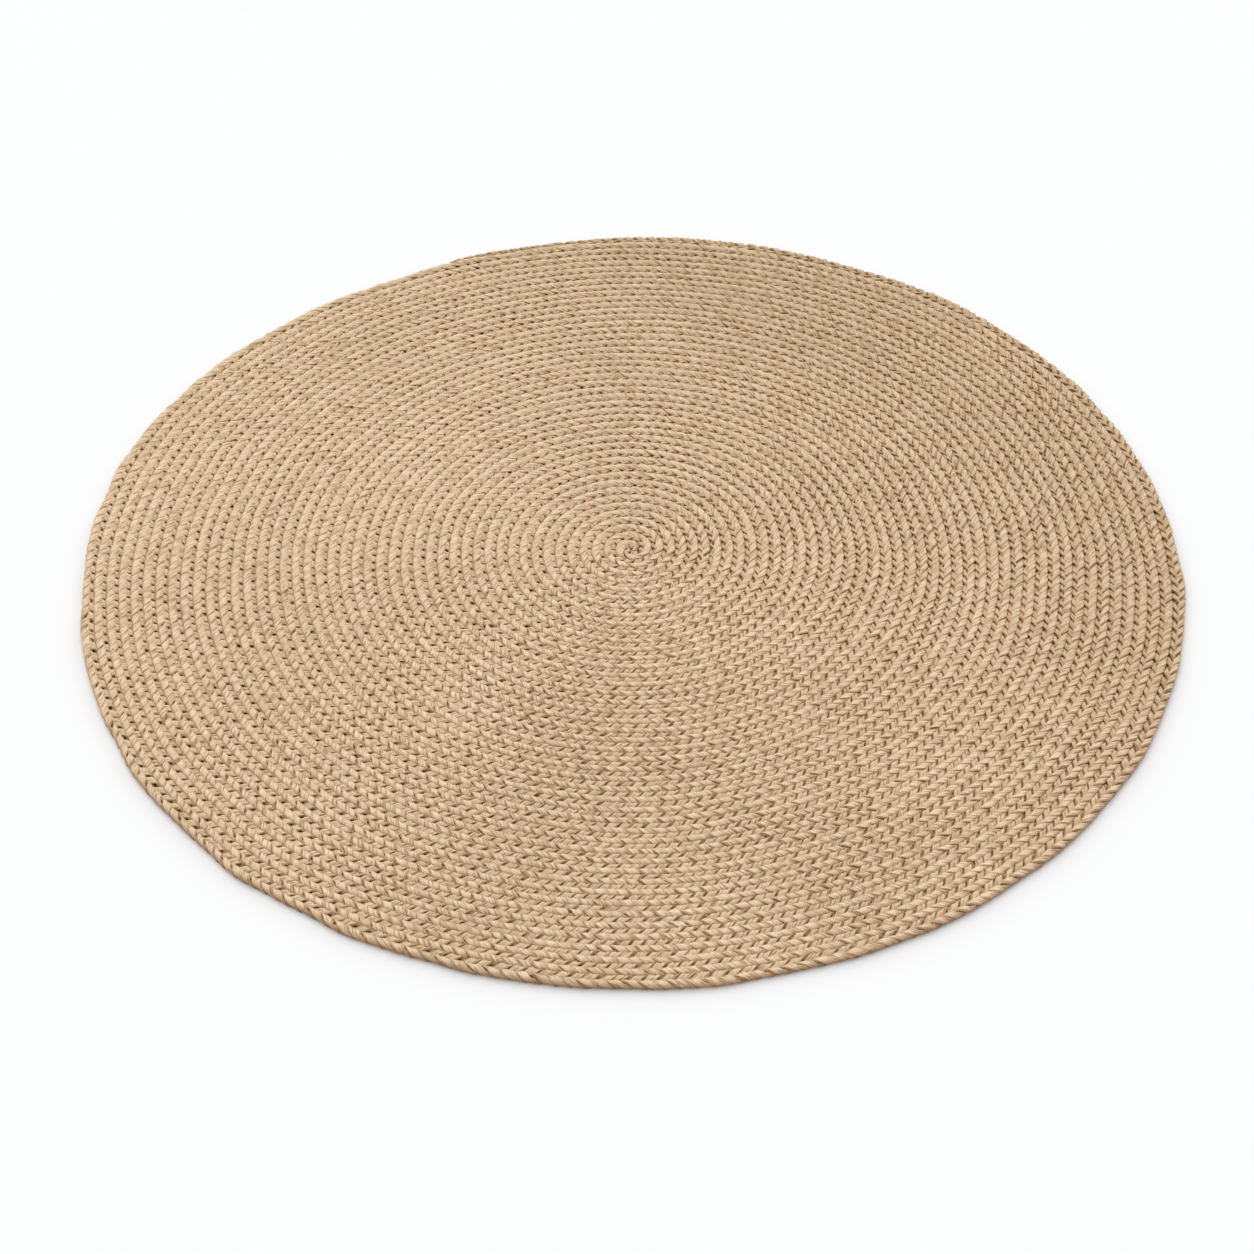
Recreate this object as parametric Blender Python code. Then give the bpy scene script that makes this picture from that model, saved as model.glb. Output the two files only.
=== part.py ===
"""Round area rug: one long three-strand braid, coiled flat from its centre and laced edge to edge.

Metres, +Z up. The rug lies on its underside at z = 0, and the origin is under the middle of its
outline. The braid is one length; here it is divided once a turn, on the ray START_ANGLE, so that
each turn is a solid of its own. Each solid is the plain outer shape of the braid, without the
relief of its strands.
"""
import math

import bpy
from mathutils import Vector

# Driving dimensions
RUG_DIAMETER = 1.500
THICKNESS = 0.009
FULL_TURNS = 45
START_ANGLE = math.radians(90)     # the braid starts, and its last full turn ends, on this ray
TAIL_STATIONS = 2                  # how far the tapered tail runs on past the last full turn

# Clearances and the groove between neighbouring turns
GAP = 0.0004                       # between solids that touch on the real rug
GROOVE = 0.0036                    # width of the groove between two turns, at the upper face

# Lacing thread, lying in the groove
THREAD_WIDTH = 0.0020
THREAD_TOP = 0.0072
THREAD_BOTTOM = 0.0054

# Stations round a turn: few where the turn is small. Each count is a multiple of the one before,
# so the flats of neighbouring turns stay side by side.
STATIONS = ((4, 8), (12, 16), (FULL_TURNS + 1, 32))     # (turns up to this one, stations a turn)

# Hand-laid unevenness of the outline: (angle, how far out as a part of the radius, spread)
BULGES = (
    (math.radians(158), 0.017, math.radians(24)),
    (math.radians(40), 0.008, math.radians(20)),
    (math.radians(292), 0.004, math.radians(30)),
    (math.radians(95), -0.007, math.radians(22)),
)
BULGE_GROWTH = 3.0                 # the bulges grow towards the rim as this power of the radius

# The box of a spiral of N whole turns, ending on the +Y ray, is 2N + 1 braids along X and half a
# braid more along Y, so its mean side gives the width that one turn takes.
BRAID_WIDTH = RUG_DIAMETER / (2 * FULL_TURNS + 1.25)
RIM_RADIUS = RUG_DIAMETER / 2

STRAW = (0.62, 0.45, 0.27, 1.0)
STRAW_SHADED = (0.52, 0.37, 0.21, 1.0)
TWINE = (0.45, 0.31, 0.17, 1.0)
FIBRE_ROUGHNESS = 0.9


def unevenness(angle):
    """How far the rim stands out of a true spiral at this angle, as a part of its radius."""
    total = 0.0
    for centre, height, spread in BULGES:
        away = (angle - centre + math.pi) % (2 * math.pi) - math.pi
        total += height * math.exp(-(away / spread) ** 2)
    return total


def plan(turns, across):
    """Point of the braid in plan: turns from its start, and metres out from its inner edge."""
    angle = START_ANGLE + 2 * math.pi * turns
    radius = BRAID_WIDTH * turns + across
    radius *= 1 + unevenness(angle) * (radius / RIM_RADIUS) ** BULGE_GROWTH
    return Vector((radius * math.cos(angle), radius * math.sin(angle)))


def forward(turns):
    """Unit vector square to the ray, the way the braid runs."""
    angle = START_ANGLE + 2 * math.pi * turns
    return Vector((-math.sin(angle), math.cos(angle)))


def stations_in(turn):
    """How many stations a turn has, counted from 1 at the centre."""
    return next(count for last_turn, count in STATIONS if turn <= last_turn)


def raise_to(point, height):
    return (point.x, point.y, height)


def braid_section(turns, width, height, shift=0.0):
    """Four corners of the braid: flat below, narrower above, moved along the braid by shift."""
    flank = (GROOVE - GAP) / 2
    slide = forward(turns) * shift
    corners = (
        (GAP / 2, 0.0),
        (width - GAP / 2, 0.0),
        (width - GAP / 2 - flank, height),
        (GAP / 2 + flank, height),
    )
    return [raise_to(plan(turns, across) + slide, z) for across, z in corners]


def thread_section(turns):
    """Three corners of the lacing thread, over the seam at the braid's inner edge."""
    half = THREAD_WIDTH / 2
    corners = ((-half, THREAD_TOP), (0.0, THREAD_BOTTOM), (half, THREAD_TOP))
    return [raise_to(plan(turns, across), z) for across, z in corners]


def sweep(sections):
    """Vertices and faces of a solid through closed sections, with a flat cap at each end."""
    corners = len(sections[0])
    vertices = [corner for section in sections for corner in section]
    faces = [list(range(corners))]
    for step in range(len(sections) - 1):
        here, there = step * corners, (step + 1) * corners
        for corner in range(corners):
            after = (corner + 1) % corners
            faces.append([here + corner, there + corner, there + after, here + after])
    last = (len(sections) - 1) * corners
    faces.append([last + corner for corner in reversed(range(corners))])
    return vertices, faces


def prism(outline_low, outline_high, height):
    """Vertices and faces of a solid between two outlines, one above the other."""
    count = len(outline_low)
    vertices = [raise_to(point, 0.0) for point in outline_low]
    vertices += [raise_to(point, height) for point in outline_high]
    faces = [list(reversed(range(count))), list(range(count, 2 * count))]
    for corner in range(count):
        after = (corner + 1) % count
        faces.append([corner, after, count + after, count + corner])
    return vertices, faces


def fibre(name, colour):
    material = bpy.data.materials.new(name)
    material.use_nodes = True
    shader = material.node_tree.nodes["Principled BSDF"]
    shader.inputs["Base Color"].default_value = colour
    shader.inputs["Roughness"].default_value = FIBRE_ROUGHNESS
    shader.inputs["Metallic"].default_value = 0.0
    return material


def add_piece(name, shape, colour, parent):
    vertices, faces = shape
    mesh = bpy.data.meshes.new(name)
    mesh.from_pydata(vertices, [], faces)
    mesh.update()
    mesh.materials.append(fibre(name + "_fibre", colour))
    piece = bpy.data.objects.new(name, mesh)
    piece.parent = parent
    bpy.context.collection.objects.link(piece)
    return piece


def turn_shape(turn):
    """One turn of the braid, a hair short of where the turn before it ends."""
    count = stations_in(turn)
    places = [turn - 1 + step / count for step in range(count + 1)]
    sections = [braid_section(turns, BRAID_WIDTH, THICKNESS) for turns in places]
    sections[0] = braid_section(places[0], BRAID_WIDTH, THICKNESS, shift=GAP)
    return sweep(sections)


def start_shape():
    """The braid's first end, tucked flat into the eye that its first turn leaves."""
    count = stations_in(1)
    clearance = 1.5 * GAP
    eye_low = [Vector((clearance, -clearance))]
    eye_high = [Vector((2 * clearance, -2 * clearance))]
    for step in range(count // 4, count):
        eye_low.append(plan(step / count, -clearance))
        eye_high.append(plan(step / count, -2 * clearance))
    eye_low.append(plan(1, -clearance) - forward(1) * clearance)
    eye_high.append(plan(1, -2 * clearance) - forward(1) * 2 * clearance)
    return prism(eye_low, eye_high, THICKNESS)


def tail_shape():
    """The braid's last end, tapered away along the outside of the last full turn."""
    sections = []
    for step in range(TAIL_STATIONS + 1):
        turns = FULL_TURNS + step / stations_in(FULL_TURNS)
        left = 1 - 0.7 * step / TAIL_STATIONS
        shift = GAP if step == 0 else 0.0
        sections.append(braid_section(turns, BRAID_WIDTH * left, THICKNESS * left ** 0.5, shift))
    return sweep(sections)


def lacing_shape():
    """The thread that holds the turns together, from the end of the first turn to the tail."""
    sections = []
    for turn in range(2, FULL_TURNS + 1):
        count = stations_in(turn)
        sections += [thread_section(turn - 1 + step / count) for step in range(count)]
    sections.append(thread_section(FULL_TURNS))
    return sweep(sections)


def outline_middle():
    """Middle of the outline's box, seen from the centre of the spiral."""
    count = stations_in(FULL_TURNS)
    edge = BRAID_WIDTH - GAP / 2
    rim = [plan(FULL_TURNS - 1 + step / count, edge) for step in range(count + 1)]
    low = Vector((min(p.x for p in rim), min(p.y for p in rim)))
    high = Vector((max(p.x for p in rim), max(p.y for p in rim)))
    return (low + high) / 2


def build():
    for old in list(bpy.data.objects):
        bpy.data.objects.remove(old, do_unlink=True)

    spiral_centre = bpy.data.objects.new("spiral_centre", None)
    middle = outline_middle()
    spiral_centre.location = (-middle.x, -middle.y, 0.0)
    bpy.context.collection.objects.link(spiral_centre)

    add_piece("braid_start", start_shape(), STRAW_SHADED, spiral_centre)
    for turn in range(1, FULL_TURNS + 1):
        colour = STRAW if turn % 2 else STRAW_SHADED
        add_piece("braid_turn_%02d" % turn, turn_shape(turn), colour, spiral_centre)
    add_piece("braid_tail", tail_shape(), STRAW_SHADED, spiral_centre)
    add_piece("lacing_thread", lacing_shape(), TWINE, spiral_centre)


build()
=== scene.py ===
"""Looks of the round braided rug: three plaited strands of straw-coloured fibre, coiled and laced.

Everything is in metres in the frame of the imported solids. Each turn of the braid is one piece that
stands for its solid. Its strands are real tubes that pass over and under each other all the way
along the spiral, so the holes and the scalloped edges come from the plait itself.
"""
import math
from types import SimpleNamespace

import bpy
import numpy as np
from mathutils import Matrix, Vector


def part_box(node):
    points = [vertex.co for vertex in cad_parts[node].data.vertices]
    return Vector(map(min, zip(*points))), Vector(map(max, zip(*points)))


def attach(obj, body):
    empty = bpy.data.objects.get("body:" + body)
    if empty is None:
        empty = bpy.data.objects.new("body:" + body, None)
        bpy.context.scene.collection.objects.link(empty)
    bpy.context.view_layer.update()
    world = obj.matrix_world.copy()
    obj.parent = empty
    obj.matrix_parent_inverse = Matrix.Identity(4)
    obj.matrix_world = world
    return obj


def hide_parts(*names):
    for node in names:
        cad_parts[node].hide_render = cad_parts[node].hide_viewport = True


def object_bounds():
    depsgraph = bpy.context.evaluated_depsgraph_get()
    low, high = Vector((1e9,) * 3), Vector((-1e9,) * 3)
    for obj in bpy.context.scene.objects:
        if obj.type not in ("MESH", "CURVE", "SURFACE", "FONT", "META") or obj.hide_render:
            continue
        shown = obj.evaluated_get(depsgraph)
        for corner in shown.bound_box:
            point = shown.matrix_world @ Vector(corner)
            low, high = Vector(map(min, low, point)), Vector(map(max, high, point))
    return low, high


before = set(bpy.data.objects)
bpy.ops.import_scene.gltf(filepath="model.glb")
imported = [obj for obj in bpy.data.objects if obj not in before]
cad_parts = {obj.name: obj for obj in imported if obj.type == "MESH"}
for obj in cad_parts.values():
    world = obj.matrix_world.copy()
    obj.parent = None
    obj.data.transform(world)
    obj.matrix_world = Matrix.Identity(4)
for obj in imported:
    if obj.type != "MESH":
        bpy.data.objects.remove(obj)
cad_low, cad_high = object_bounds()

# The spiral, read from the frame
TURNS = sum(name.startswith("braid_turn_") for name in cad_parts)
START_ANGLE = math.radians(90)
THICKNESS = cad_high.z
RIM_RADIUS = (cad_high.x - cad_low.x) / 2
TAIL_TURNS = 2 / 32                 # the tapered tail runs on this far past the last full turn
START_TURNS = 0.45                  # and the tucked first end runs this far into the eye

# Hand-laid unevenness of the outline, as in the solids: (angle, part of the radius, spread)
BULGES = (
    (math.radians(158), 0.017, math.radians(24)),
    (math.radians(40), 0.008, math.radians(20)),
    (math.radians(292), 0.004, math.radians(30)),
    (math.radians(95), -0.007, math.radians(22)),
)
BULGE_GROWTH = 3.0

# The plait
PITCH_PER_WIDTH = 0.95              # from one edge loop to the next, against the braid's width
STRANDS = 3
STRAND_HALF_WIDTH = 0.0046
STRAND_HALF_DEPTH = 0.0023
SHOULDER = 0.65                     # lower gives a strand a boxier section
LEAF_SWELL = 0.00035                # a strand swells this much between two crossings
HURRY_SPREAD = 0.0003               # it lies wider by this where it hurries across
UNDER_SPREAD = 0.0012               # and by this where it passes underneath
EDGE_PRESS = 0.0013                 # neighbouring turns press on each other by this much
SIDE_PRESS = 1.110                  # softened limits of the plait, against its half width
HEIGHT_PRESS = 1.03                 # and against its half thickness
PRESS_SHARPNESS = 8                 # how suddenly those limits stop a strand
DISH = 0.18                         # the middle of a turn lies lower than its edges by this part
TILT = 0.05                         # and its inner edge lower than its outer one by this part
ROLL = 0.25                         # a strand lies lower on the side that the braid runs to
PLY_HEIGHT = 0.05                   # three plies wind round a strand as low ridges
PLY_LAY = 0.034                     # and come round once in this length
RING_POINTS = 10
RINGS_PER_WAVE = 20

# How the lay of the strands changes round the rug, by which way the turn faces there
LAG = 0.52                          # strands linger on the outer half's top and hurry over the inner's
LAG_PLACE = math.pi / 4             # where in the swing they linger most
FRONT_EVEN = 0.85                   # at the front they swing this much more evenly
BACK_EVEN = 0.35                    # and at the back this much less evenly
RIM_LAG = 0.15                      # on the rim's own turn only this much of the lag is left
STRAIGHT = 0.30                     # how straight a strand runs from edge to edge, from 0 to 1
STRAIGHT_GAIN = 0.62                # and how much straighter at the front and on the rim's turn
LEAN = 0.0022                       # the line where the strands cross lies this far inward
FRONT_LEVEL = 0.60                  # the lean and the dish are this much less at the front
LOOSE_RIGHT = 0.65                  # the plait is looser towards the right
LOOSE_BACK = 1.00                   # and towards the back
LOOSE_NARROW = 0.10                 # loose strands are this much narrower
LAST_LOOSE = 0.15                   # the last turn's strands swing this much slower
PAINTED_RIDGE_SHADE = 0.70                      # strength of the painted shade at the seams and over the inner half of a turn, and of the painted highlight on its outer ridge, at the sides
PAINTED_RIDGE_SHADE_BACK = 0.30                 # and this much more at the back, and less at the front

# Hand-made unevenness: (amount, metres from one value to the next, seed). Each strand adds its
# own first seed to those marked strand.
RIM_WAVER = (0.0022, 0.055, 23)
ROW_SLIP = (0.0110, 0.23, 7)
STITCH_SLIP = (0.0014, 0.047, 8)
LAG_UNEVEN = (0.07, 0.4, 9)
ROW_LOOSE = (0.25, 0.25, 10)
STITCH_LOOSE = (0.45, 0.04, 22)
ROW_PLUMP = (0.07, 0.11, 21)
SWING_UNEVEN = (0.11, 0.021, 1)     # strand
RISE_UNEVEN = (0.15, 0.027, 2)      # strand
STRAND_PLUMP = (0.16, 0.017, 3)     # strand
DEPTH_UNEVEN = (0.08, 0.013, 4)     # strand
STRAND_SLIP = (0.0020, 0.031, 5)    # strand
STRAND_TWIST = (0.28, 0.019, 6)     # strand
FLOOR_SHIFT = (0.0011, 0.20, 11)    # amount, wavelength and seed over the floor
FLOOR_LIFT = (0.0007, 0.42, 13)
CALM_RADIUS = 0.10                  # the turns near the eye lie truer than the others

# Where along the spiral things change, in turns
WAVER_BEFORE_END = 1.2              # the rim's waver starts this far before the end of the last turn
WAVER_FADE = 0.2
RIM_LAY_BEFORE_END = 0.9            # and from here the lay of the strands changes to the rim's own
RIM_LAY_FADE = 0.5

# How full the braid is
LEAST_FULL = 0.35                   # at the tips of both ends
START_TAPER = 0.30                  # turns that the first end's taper takes
START_TIP = 0.05                    # how far along that taper the first end is cut off
EYE_SPREAD = 0.35                   # the first turn spreads by this part to fill the eye
EYE_SPREAD_AT = 0.40                # turns
EYE_SPREAD_OVER = 0.16              # turns


def size_x(node):
    low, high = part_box(node)
    return high[0] - low[0]


# Ten turns further out, a turn's box is twenty braids wider
BRAID_WIDTH = (size_x("braid_turn_12") - size_x("braid_turn_02")) / 20
turn_low, turn_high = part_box("braid_turn_02")
# A whole turn that ends on the +Y ray has its box a quarter of a braid off the spiral's centre
SPIRAL_CENTRE = np.array([
    (turn_low[0] + turn_high[0]) / 2 - BRAID_WIDTH / 4,
    (turn_low[1] + turn_high[1]) / 2 - BRAID_WIDTH / 4,
])
PITCH = PITCH_PER_WIDTH * BRAID_WIDTH
WAVE = STRANDS * PITCH              # a strand comes back to the same edge after three loops
SIDE_SWING = BRAID_WIDTH / 2 - STRAND_HALF_DEPTH + EDGE_PRESS
RISE = THICKNESS / 2 - STRAND_HALF_DEPTH


def wander(along, spacing, seed):
    """Smooth noise from -1 to 1 along a length, with a new value every spacing."""
    knots_before_start = 64.0       # for the few lengths inside the eye, which are less than nothing
    knots = along / spacing + knots_before_start
    knot = np.floor(knots).astype(int)
    part = knots - knot
    part = part * part * (3 - 2 * part)
    values = np.random.default_rng(seed).uniform(-1, 1, int(knot.max()) + 2)
    return values[knot] * (1 - part) + values[knot + 1] * part


def uneven(along, kind, first_seed=0):
    """Seeded unevenness of one of the kinds above, along a length."""
    amount, spacing, seed = kind
    return amount * wander(along, spacing, first_seed + seed)


def ripple(x, y, wavelength, seed, waves=7):
    """Smooth noise over the floor, about -1 to 1, as a sum of waves in seeded directions."""
    rng = np.random.default_rng(seed)
    total = np.zeros_like(x)
    for heading, phase, stretch in rng.uniform((0, 0, 0.7), (2 * np.pi, 2 * np.pi, 1.4), (waves, 3)):
        run = x * math.cos(heading) + y * math.sin(heading)
        total += np.sin(2 * np.pi * run / (wavelength * stretch) + phase)
    return total / math.sqrt(waves)


def unevenness(angle):
    total = np.zeros_like(angle)
    for centre, height, spread in BULGES:
        away = (angle - centre + np.pi) % (2 * np.pi) - np.pi
        total += height * np.exp(-(away / spread) ** 2)
    return total


def length_at(turns):
    """Length of the braid's middle line to so many turns; less than nothing inside the eye."""
    return np.pi * BRAID_WIDTH * (turns * turns + turns)


def turns_at(length):
    """The reverse of length_at."""
    inside = 1 + 4 * length / (np.pi * BRAID_WIDTH)
    return (np.sqrt(np.maximum(inside, 0.0)) - 1) / 2


def unit(vectors):
    return vectors / np.linalg.norm(vectors, axis=-1, keepdims=True)


def rounded(wave):
    """A cosine or sine with fuller shoulders, which gives a strand a boxier section."""
    return np.sign(wave) * np.abs(wave) ** SHOULDER


def squeeze(value, limit):
    """Presses a value softly back inside plus or minus a limit."""
    return value / (1 + np.abs(value / limit) ** PRESS_SHARPNESS) ** (1 / PRESS_SHARPNESS)


def place(turns, across, height):
    """World points for places on the spiral: turns, metres from the inner edge, metres up."""
    angle = START_ANGLE + 2 * np.pi * turns
    radius = BRAID_WIDTH * turns + across
    radius = radius * (1 + unevenness(angle) * (np.abs(radius) / RIM_RADIUS) ** BULGE_GROWTH)
    on_last_turn = np.clip((turns - TURNS + WAVER_BEFORE_END) / WAVER_FADE, 0.0, 1.0)
    on_rim = on_last_turn * np.clip(across / BRAID_WIDTH, 0.0, 1.0)
    radius = radius + on_rim * uneven(length_at(turns), RIM_WAVER)
    x = SPIRAL_CENTRE[0] + radius * np.cos(angle)
    y = SPIRAL_CENTRE[1] + radius * np.sin(angle)
    shift, wavelength, seed = FLOOR_SHIFT
    calm = np.minimum(1.0, np.abs(radius) / CALM_RADIUS)
    x = x + shift * calm * ripple(x, y, wavelength, seed)
    y = y + shift * calm * ripple(x, y, wavelength, seed + 1)
    lift, wavelength, seed = FLOOR_LIFT
    lifted = lift * (1 + ripple(x, y, wavelength, seed)) * np.clip(height / THICKNESS, 0.0, 1.0)
    return np.stack([x, y, height + lifted], -1)


def size_along(turns):
    """How full the braid is: whole, but tapered at its two ends, and spread where it fills the eye."""
    inner = np.clip((turns + START_TURNS) / START_TAPER, START_TIP, 1.0)
    outer = np.clip((TURNS + TAIL_TURNS - turns) / TAIL_TURNS, 0.0, 1.0)
    spread = EYE_SPREAD * np.exp(-((turns - EYE_SPREAD_AT) / EYE_SPREAD_OVER) ** 2)
    return LEAST_FULL + (1 - LEAST_FULL) * np.sqrt(np.minimum(inner, outer)) + spread


def lay_at(along):
    """How the strands lie at a length, which depends on the way that the turn faces there."""
    turns = turns_at(along)
    facing = START_ANGLE + 2 * np.pi * turns
    frontness, rightness = -np.sin(facing), np.cos(facing)
    front = np.clip(frontness, 0.0, 1.0)
    inner = np.clip((TURNS - RIM_LAY_BEFORE_END + RIM_LAY_FADE - turns) / RIM_LAY_FADE, 0.0, 1.0)
    lag = LAG * np.where(frontness > 0, 1 - FRONT_EVEN * frontness, 1 - BACK_EVEN * frontness)
    loose = (LOOSE_RIGHT * rightness - LOOSE_BACK * frontness
             + uneven(along, ROW_LOOSE) + uneven(along, STITCH_LOOSE))
    return SimpleNamespace(
        lag=(lag + uneven(along, LAG_UNEVEN)) * (RIM_LAG + (1 - RIM_LAG) * inner),
        straight=STRAIGHT + STRAIGHT_GAIN * np.maximum(front, 1 - inner),
        loose=np.clip(loose, -1.0, 1.0),
        lean=LEAN * inner * (1 - FRONT_LEVEL * front),
        dish=DISH * (1 - FRONT_LEVEL * front),
        roll=ROLL * (1 - front),
        # how strong the painted shade and highlight across the turn are, stronger at the back
        painted_ridge_shade=PAINTED_RIDGE_SHADE - PAINTED_RIDGE_SHADE_BACK * frontness,
    )


def strand_section(along, strand, lay):
    """A strand's middle line and the two directions and sizes of its section, in the plait's own
    coordinates: metres across the braid, along it and up."""
    seed = 100 * (strand + 1)
    slip = (uneven(along, ROW_SLIP) + uneven(along, STITCH_SLIP) + uneven(along, STRAND_SLIP, seed)
            - LAST_LOOSE * np.maximum(along - length_at(TURNS - 1), 0.0))
    beat = 2 * np.pi * ((along + slip) / WAVE + strand / STRANDS)
    phase = beat - lay.lag * np.sin(beat - LAG_PLACE)
    hurry = -lay.lag * np.cos(beat - LAG_PLACE)
    rate = 2 * np.pi / WAVE * (1 + hurry)
    swing = SIDE_SWING * (1 + uneven(along, SWING_UNEVEN, seed))
    rise = RISE * (1 + uneven(along, RISE_UNEVEN, seed))
    # Nearly a zigzag where the strands run straight, and nearly a sine elsewhere
    reach = np.arcsin(lay.straight)
    across = swing * np.arcsin(lay.straight * np.sin(phase)) / reach
    steep = lay.straight / np.sqrt(1 - (lay.straight * np.sin(phase)) ** 2) / reach
    up = rise * np.sin(2 * phase)
    across_slope = swing * np.cos(phase) * steep * rate
    up_slope = 2 * rise * np.cos(2 * phase) * rate
    ahead = unit(np.stack([across_slope, np.ones_like(along), up_slope], -1))
    level = unit(np.stack([-up_slope, np.zeros_like(along), across_slope], -1))
    upright = np.cross(ahead, level)
    twist = uneven(along, STRAND_TWIST, seed)[:, None]
    plump = 1 + uneven(along, STRAND_PLUMP, seed) + uneven(along, ROW_PLUMP)
    under = UNDER_SPREAD * (1 - lay.loose) * np.clip(-np.sin(2 * phase), 0, 1)
    half_width = STRAND_HALF_WIDTH - LEAF_SWELL * np.cos(4 * phase) + HURRY_SPREAD * hurry / LAG + under
    return SimpleNamespace(
        middle=np.stack([across, along, up], -1),
        flat=level * np.cos(twist) - upright * np.sin(twist),
        wide=upright * np.cos(twist) + level * np.sin(twist),
        half_width=half_width * plump * (1 - LOOSE_NARROW * lay.loose),
        half_depth=STRAND_HALF_DEPTH * (1 + uneven(along, DEPTH_UNEVEN, seed)),
    )


def tube(turn_from, turn_to, strand):
    """Rings of world points along one strand between two places on the spiral. With each point go
    its place in the strand's fibre and its relief: its place across the turn from -1 to 1, how
    far it is on the strand's flank, which sets the painted shade on the flanks, and how strong
    the turn's painted shade at its seams and inner half and painted highlight on its ridge are there."""
    start, end = length_at(turn_from), length_at(turn_to)
    rings = max(3, round((end - start) / WAVE * RINGS_PER_WAVE)) + 1
    along = np.linspace(start, end, rings)
    lay = lay_at(along)
    section = strand_section(along, strand, lay)

    angle = np.linspace(0, 2 * np.pi, RING_POINTS, endpoint=False)
    ply = 1 + PLY_HEIGHT * np.sin(3 * angle[None, :] + 2 * np.pi * along[:, None] / PLY_LAY + strand)
    side = section.half_width[:, None] * rounded(np.cos(angle))[None, :] * ply
    over = section.half_depth[:, None] * rounded(np.sin(angle))[None, :] * ply
    point = (section.middle[:, None, :]
             + section.wide[:, None, :] * side[:, :, None] + section.flat[:, None, :] * over[:, :, None])
    point[:, :, 2] -= lay.roll[:, None] * (point[:, :, 1] - along[:, None])

    where = turns_at(point[:, :, 1])
    full = size_along(where)
    middle = np.where(where < 1, BRAID_WIDTH * (1 - full / 2), BRAID_WIDTH * full / 2)
    sideways = squeeze(point[:, :, 0], SIDE_PRESS * BRAID_WIDTH / 2)
    part = np.clip(sideways / (BRAID_WIDTH / 2), -1.0, 1.0)
    sideways = sideways - lay.lean[:, None] * (1 - part ** 2)
    sunk = 1 - lay.dish[:, None] * (1 - part ** 2) - TILT * (1 - part) / 2
    height = THICKNESS / 2 + squeeze(point[:, :, 2], HEIGHT_PRESS * THICKNESS / 2) * sunk
    height = np.maximum(height, 0.0) * np.sqrt(np.minimum(full, 1.0))
    world = place(where, middle + sideways * full, height)

    strand_start = 37.0 * strand    # so that no two strands share their streaks
    fibre = np.stack([np.broadcast_to(along[:, None], side.shape) + strand_start, side, over], -1)
    flank = np.broadcast_to(np.abs(np.cos(angle)), side.shape)
    painted_ridge_shade = np.broadcast_to(lay.painted_ridge_shade[:, None], side.shape)
    return world, fibre, np.stack([part, flank, painted_ridge_shade], -1)


def spread_flat(mesh, bands, around):
    """A UV map for baked textures. Each tube is slit open and lies flat as a strip, and the strips
    are cut to one length and stand side by side in the square. The end caps share a corner."""
    total = sum(bands)
    columns = max(1, round(math.sqrt(total / (around + 1))))
    rows = math.ceil(total / columns)
    band = np.arange(total)[:, None, None]
    side = np.arange(around)[None, :, None]
    u = (band // rows * (around + 1) + side + np.array([0, 1, 1, 0]) + 0.5) / (columns * (around + 1))
    v = (band % rows + 0 * side + np.array([0, 0, 1, 1]) + 0.5) / (rows + 2)
    angle = np.linspace(0, 2 * np.pi, around, endpoint=False)
    cap_centre, cap_radius = 0.9995, 0.0004
    cap = cap_centre + cap_radius * np.stack([np.cos(angle), np.sin(angle)], -1)
    corners = np.concatenate([np.stack([u, v], -1).reshape(-1, 2)] + [cap] * (2 * len(bands)))
    layer = mesh.uv_layers.new(name="OFBake")
    layer.data.foreach_set("uv", corners.reshape(-1).astype(np.float32))


def tubes_to_mesh(name, tubes):
    """One mesh of closed tubes, each a grid of rings with one face over each end."""
    points, quads, ends, fibres, reliefs = [], [], [], [], []
    offset = 0
    for world, fibre, relief in tubes:
        rings, around = world.shape[:2]
        ring = np.arange(rings - 1)[:, None] * around
        here = np.arange(around)[None, :]
        after = (here + 1) % around
        quads.append(offset + np.stack(
            [ring + here, ring + after, ring + around + after, ring + around + here], -1).reshape(-1, 4))
        ends.append(offset + np.arange(around)[::-1])
        ends.append(offset + (rings - 1) * around + np.arange(around))
        points.append(world.reshape(-1, 3))
        fibres.append(fibre.reshape(-1, 3))
        reliefs.append(relief.reshape(-1, 3))
        offset += rings * around
    points, quads = np.concatenate(points), np.concatenate(quads)
    corners = np.concatenate([quads.reshape(-1)] + ends)
    sizes = np.concatenate([np.full(len(quads), 4), [len(end) for end in ends]])
    starts = np.concatenate([[0], np.cumsum(sizes)[:-1]])
    mesh = bpy.data.meshes.new(name)
    mesh.vertices.add(len(points))
    mesh.vertices.foreach_set("co", points.reshape(-1).astype(np.float32))
    mesh.loops.add(len(corners))
    mesh.loops.foreach_set("vertex_index", corners.astype(np.int32))
    mesh.polygons.add(len(sizes))
    mesh.polygons.foreach_set("loop_start", starts.astype(np.int32))
    mesh.polygons.foreach_set("use_smooth", np.ones(len(sizes), bool))
    mesh.update(calc_edges=True)
    spread_flat(mesh, [len(world) - 1 for world, _, _ in tubes], tubes[0][0].shape[1])
    for label, vectors in (("fibre", fibres), ("relief", reliefs)):
        attribute = mesh.attributes.new(label, "FLOAT_VECTOR", "POINT")
        attribute.data.foreach_set("vector", np.concatenate(vectors).reshape(-1).astype(np.float32))
    return mesh


def add_piece(name, mesh, material, node):
    mesh.materials.append(material)
    piece = bpy.data.objects.new(name, mesh)
    bpy.context.scene.collection.objects.link(piece)
    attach(piece, "root")
    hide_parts(node)


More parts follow.
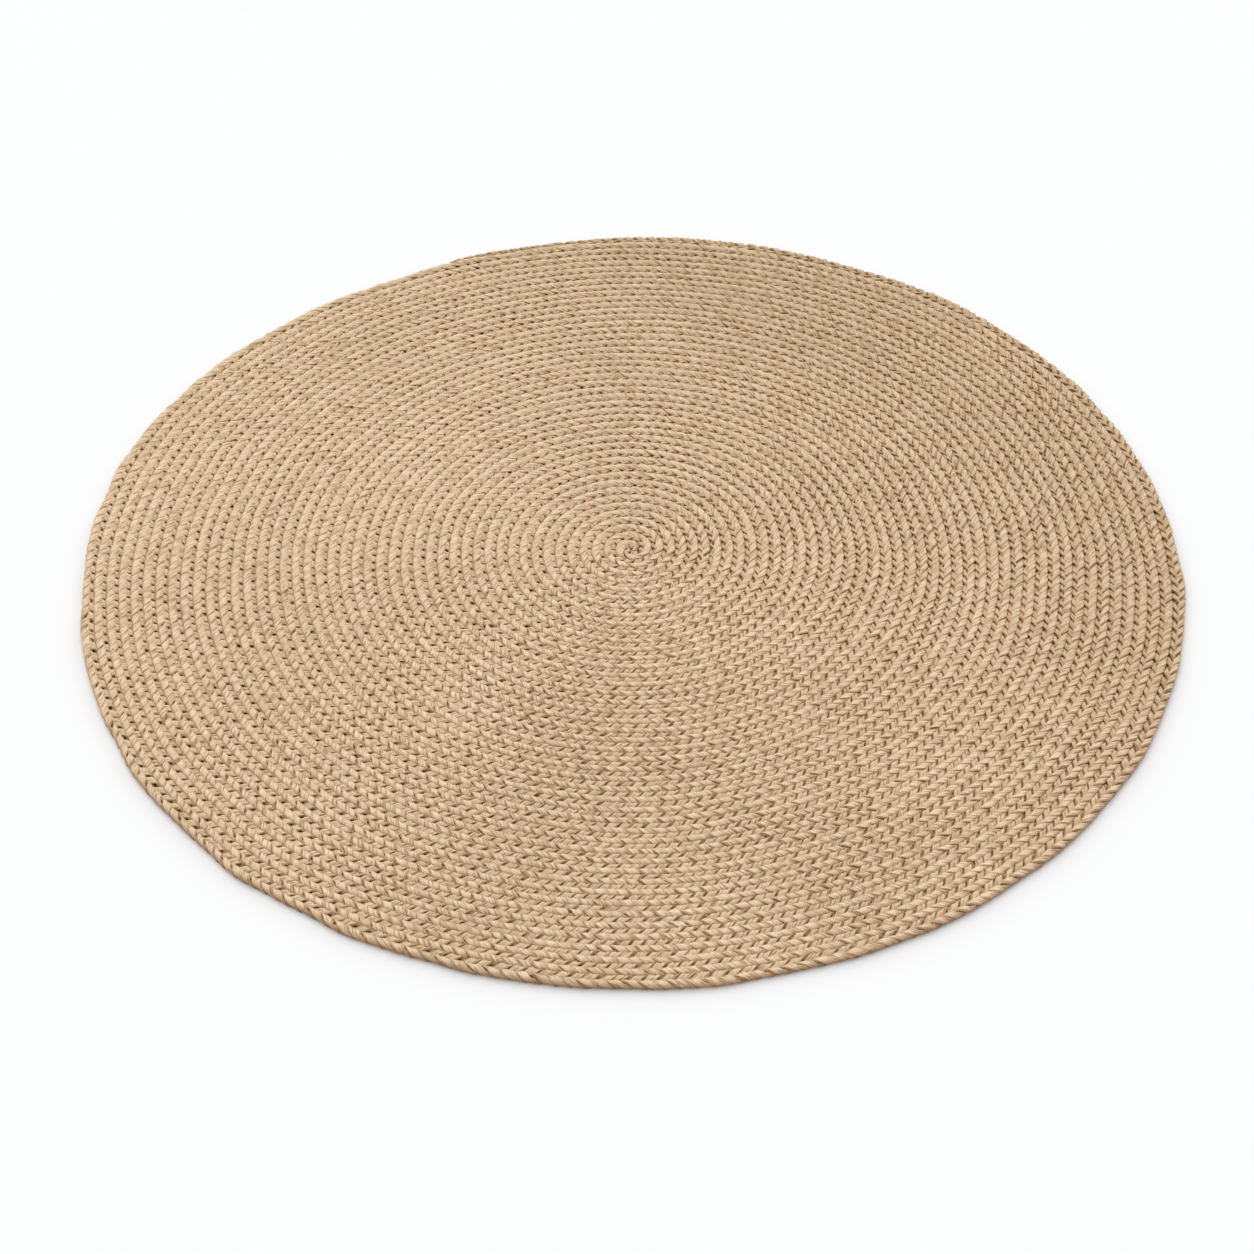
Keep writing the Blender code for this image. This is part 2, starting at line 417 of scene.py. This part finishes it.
class Nodes:
    """A material's node tree, with short calls to add nodes and links."""

    def __init__(self, name):
        self.material = bpy.data.materials.new(name)
        self.material.use_nodes = True
        self.tree = self.material.node_tree
        self.shader = self.tree.nodes["Principled BSDF"]

    def add(self, kind, **settings):
        node = self.tree.nodes.new(kind)
        for key, value in settings.items():
            setattr(node, key, value)
        return node

    def link(self, source, target):
        self.tree.links.new(source, target)

    def scaled(self, vector, scale):
        node = self.add("ShaderNodeVectorMath", operation="MULTIPLY")
        self.link(vector, node.inputs[0])
        node.inputs[1].default_value = scale
        return node.outputs["Vector"]

    def noise(self, vector, detail=2.0, roughness=0.5):
        node = self.add("ShaderNodeTexNoise")
        self.link(vector, node.inputs["Vector"])
        node.inputs["Scale"].default_value = 1.0
        node.inputs["Detail"].default_value = detail
        node.inputs["Roughness"].default_value = roughness
        return node.outputs["Fac"]

    def ramp(self, factor, stops):
        node = self.add("ShaderNodeValToRGB")
        self.link(factor, node.inputs["Fac"])
        elements = node.color_ramp.elements
        while len(elements) < len(stops):
            elements.new(0.5)
        for element, (position, colour) in zip(elements, stops):
            element.position = position
            element.color = (*colour, 1.0)
        return node.outputs["Color"]

    def attribute(self, name):
        return self.add("ShaderNodeAttribute", attribute_name=name).outputs["Vector"]

    def split(self, vector):
        node = self.add("ShaderNodeSeparateXYZ")
        self.link(vector, node.inputs[0])
        return node.outputs

    def dot(self, vector, direction):
        node = self.add("ShaderNodeVectorMath", operation="DOT_PRODUCT")
        self.link(vector, node.inputs[0])
        node.inputs[1].default_value = direction
        return node.outputs["Value"]

    def span(self, value, low, high, first=0.0, last=1.0):
        """Runs from first, where the value is low, to last, where it is high."""
        node = self.add("ShaderNodeMapRange")
        self.link(value, node.inputs["Value"])
        node.inputs["From Min"].default_value = low
        node.inputs["From Max"].default_value = high
        node.inputs["To Min"].default_value = first
        node.inputs["To Max"].default_value = last
        return node.outputs["Result"]

    def bump(self, height, distance, normal=None, strength=0.8):
        node = self.add("ShaderNodeBump")
        node.inputs["Strength"].default_value = strength
        node.inputs["Distance"].default_value = distance
        self.link(height, node.inputs["Height"])
        if normal:
            self.link(normal, node.inputs["Normal"])
        return node.outputs["Normal"]

    def blend(self, mode, factor, first, second):
        node = self.add("ShaderNodeMix", data_type="RGBA", blend_type=mode)
        if isinstance(factor, float):
            node.inputs["Factor"].default_value = factor
        else:
            self.link(factor, node.inputs["Factor"])
        self.link(first, node.inputs["A"])
        self.link(second, node.inputs["B"])
        return node.outputs["Result"]


def plant_fibre():
    """Matte plant fibre: fine streaks along each strand, and strands and patches that differ.
    Painted shade darkens the creases' hollows, the strands' flanks, the seams and inner halves of
    the turns, the holes and the back right side, and painted highlight lies on each turn's outer
    ridge and on the creases' crests.
    """
    nodes = Nodes("plant_fibre")
    fibre = nodes.attribute("fibre")
    relief = nodes.split(nodes.attribute("relief"))
    world = nodes.add("ShaderNodeTexCoord").outputs["Object"]
    plain = (1.00, 1.00, 1.00)
    paler = (1.04, 1.05, 1.06)

    streaks = nodes.noise(nodes.scaled(fibre, (80, 850, 850)), detail=4, roughness=0.6)
    creases = nodes.noise(nodes.scaled(fibre, (75, 430, 430)), detail=2, roughness=0.55)
    tones = nodes.noise(nodes.scaled(fibre, (42, 60, 60)), detail=1)
    patches = nodes.noise(nodes.scaled(world, (3, 3, 3)), detail=2)
    height = nodes.split(world)["Z"]
    sunken_from, fully_sunken = 0.0068, 0.0040
    sunken = nodes.span(height, sunken_from, fully_sunken)
    to_back_right = nodes.dot(world, (1.0, 0.7, 0.0))

    straw = nodes.ramp(streaks, (
        (0.30, (0.53, 0.368, 0.218)),
        (0.50, (0.69, 0.522, 0.350)),
        (0.70, (0.765, 0.60, 0.43)),
    ))
    # Painted shade and highlight on the folds: the colour is darker where the fold bump is low and paler
    # where it is high
    crease = nodes.ramp(creases, ((0.34, (0.60, 0.50, 0.39)), (0.45, plain), (0.70, paler)))
    leaf = nodes.ramp(tones, ((0.30, (0.88, 0.83, 0.76)), (0.50, plain), (0.72, (1.04, 1.05, 1.07))))
    patch = nodes.ramp(patches, ((0.30, (0.95, 0.94, 0.92)), (0.70, (1.04, 1.04, 1.05))))
    # Painted shade: the colour grows darker towards the back right of the rug, as if that side were less
    # lit
    painted_back_right_shade = nodes.ramp(nodes.span(to_back_right, 0.05, 0.65), ((0.0, plain), (1.0, (0.88, 0.865, 0.84))))
    # Painted shade and highlight across each turn: darker at the seams between turns and over the inner
    # half, paler on the outer ridge, at the strength that the relief's third value gives
    band = nodes.ramp(nodes.span(relief["X"], -1.0, 1.0), (
        (0.00, (0.84, 0.76, 0.65)),
        (0.12, (0.93, 0.87, 0.79)),
        (0.45, (0.93, 0.89, 0.82)),
        (0.62, (1.05, 1.07, 1.08)),
        (0.92, (1.05, 1.07, 1.08)),
        (1.00, (0.84, 0.76, 0.65)),
    ))
    # Painted shade: each strand darkens towards its flanks, which gives every leaf a dark outline where
    # it meets its neighbours
    flank = nodes.ramp(nodes.span(relief["Y"], 0.62, 0.95), ((0.0, plain), (1.0, (0.82, 0.72, 0.60))))
    # Painted shade in the holes: the lower a point lies in the plait, the darker and browner it is
    painted_hole_shade = nodes.ramp(sunken, ((0.0, plain), (1.0, (0.81, 0.63, 0.45))))
    colour = straw
    for strength, layer in ((1.0, crease), (1.0, leaf), (1.0, patch), (1.0, painted_back_right_shade),
                            (relief["Z"], band), (1.0, flank), (1.0, painted_hole_shade)):
        colour = nodes.blend("MULTIPLY", strength, colour, layer)
    nodes.link(colour, nodes.shader.inputs["Base Color"])

    nodes.link(nodes.span(streaks, 0.0, 1.0, first=0.95, last=0.70), nodes.shader.inputs["Roughness"])
    folds = nodes.bump(creases, 0.0024)
    nodes.link(nodes.bump(streaks, 0.0004, folds), nodes.shader.inputs["Normal"])
    nodes.shader.inputs["Specular IOR Level"].default_value = 0.3
    return nodes.material


def add_strands():
    fibre = plant_fibre()

    def plait(name, turn_from, turn_to, node):
        tubes = [tube(turn_from, turn_to, strand) for strand in range(STRANDS)]
        add_piece(name, tubes_to_mesh(name, tubes), fibre, node)

    plait("plait_start", -START_TURNS, 0, "braid_start")
    for turn in range(1, TURNS + 1):
        plait("plait_turn_%02d" % turn, turn - 1, turn, "braid_turn_%02d" % turn)
    plait("plait_tail", TURNS, TURNS + TAIL_TURNS, "braid_tail")


def twine():
    nodes = Nodes("twine")
    streaks = nodes.noise(nodes.scaled(nodes.attribute("fibre"), (400, 2500, 2500)), detail=3)
    colour = nodes.ramp(streaks, ((0.3, (0.30, 0.19, 0.10)), (0.7, (0.55, 0.39, 0.23))))
    nodes.link(colour, nodes.shader.inputs["Base Color"])
    nodes.shader.inputs["Roughness"].default_value = 0.9
    return nodes.material


def add_lacing():
    """The thread between the turns, swinging from one braid's loops to the next one's."""
    thread_radius = 0.0006
    swing = 0.0006
    middle_height = 0.42 * THICKNESS
    sides = 5
    start, end = length_at(1.0), length_at(float(TURNS))
    along = np.arange(start, end, PITCH / 2)
    turns = turns_at(along)
    beat = np.arange(len(along)) % 2 * 2 - 1
    angle = np.linspace(0, 2 * np.pi, sides, endpoint=False)
    side = thread_radius * np.cos(angle)[None, :] + swing * beat[:, None]
    over = thread_radius * np.sin(angle)[None, :] + middle_height + 0 * side
    world = place(turns[:, None] + 0 * side, side, over)
    fibre = np.stack([np.broadcast_to(along[:, None], side.shape), side, over], -1)
    mesh = tubes_to_mesh("lacing", [(world, fibre, 0 * fibre)])
    add_piece("lacing", mesh, twine(), "lacing_thread")


def add_floor():
    half = 150.0                    # so wide that its edge lies at the horizon
    below = 0.0002                  # a hair's gap under the rug
    corners = [(-half, -half, 0), (half, -half, 0), (half, half, 0), (-half, half, 0)]
    mesh = bpy.data.meshes.new("floor")
    mesh.from_pydata(corners, [], [(0, 1, 2, 3)])
    nodes = Nodes("floor")
    nodes.shader.inputs["Base Color"].default_value = (0.835, 0.835, 0.835, 1)
    nodes.shader.inputs["Roughness"].default_value = 0.9
    nodes.shader.inputs["Specular IOR Level"].default_value = 0.1
    mesh.materials.append(nodes.material)
    floor = bpy.data.objects.new("floor", mesh)
    floor.location.z = -below
    bpy.context.scene.collection.objects.link(floor)


def add_sun(name, energy, softness, towards):
    """Softness is the lamp's width as the rug sees it, in degrees."""
    data = bpy.data.lights.new(name, "SUN")
    data.energy = energy
    data.angle = math.radians(softness)
    sun = bpy.data.objects.new(name, data)
    sun.rotation_euler = Vector(towards).to_track_quat("-Z", "Y").to_euler()
    bpy.context.scene.collection.objects.link(sun)


def add_light():
    """A bright soft room, with a wide lamp overhead and two low ones behind the rug."""
    world = bpy.data.worlds.new("studio")
    world.use_nodes = True
    background = world.node_tree.nodes["Background"]
    background.inputs["Color"].default_value = (0.98, 0.99, 1.0, 1)
    background.inputs["Strength"].default_value = 0.62
    bpy.context.scene.world = world
    add_sun("overhead", energy=1.40, softness=60, towards=(0.12, -0.45, -1.0))
    add_sun("low_left", energy=0.92, softness=40, towards=(0.90, -1.00, -0.44))
    add_sun("low_right", energy=0.78, softness=40, towards=(-0.90, -1.00, -0.44))
    bpy.context.scene.view_settings.view_transform = "Standard"


def add_camera():
    """Looks down at the rug from the front; the distances are in rim radii."""
    down = math.radians(43.79)
    roll = math.radians(-0.483)
    distance = 4.067 * RIM_RADIUS
    target = Vector((-0.0095, -0.2000, 0.0)) * RIM_RADIUS
    ahead = Vector((0, math.cos(down), -math.sin(down)))
    level_right, level_up = Vector((1, 0, 0)), Vector((0, math.sin(down), math.cos(down)))
    right = level_right * math.cos(roll) + level_up * math.sin(roll)
    up = level_up * math.cos(roll) - level_right * math.sin(roll)
    data = bpy.data.cameras.new("camera")
    data.sensor_width = 36.0
    data.lens = 65.72
    camera = bpy.data.objects.new("camera", data)
    turned = Matrix((right, up, -ahead)).transposed().to_4x4()
    camera.matrix_world = Matrix.Translation(target - ahead * distance) @ turned
    bpy.context.scene.collection.objects.link(camera)
    bpy.context.scene.camera = camera


add_camera()
add_light()
add_floor()
add_strands()
add_lacing()
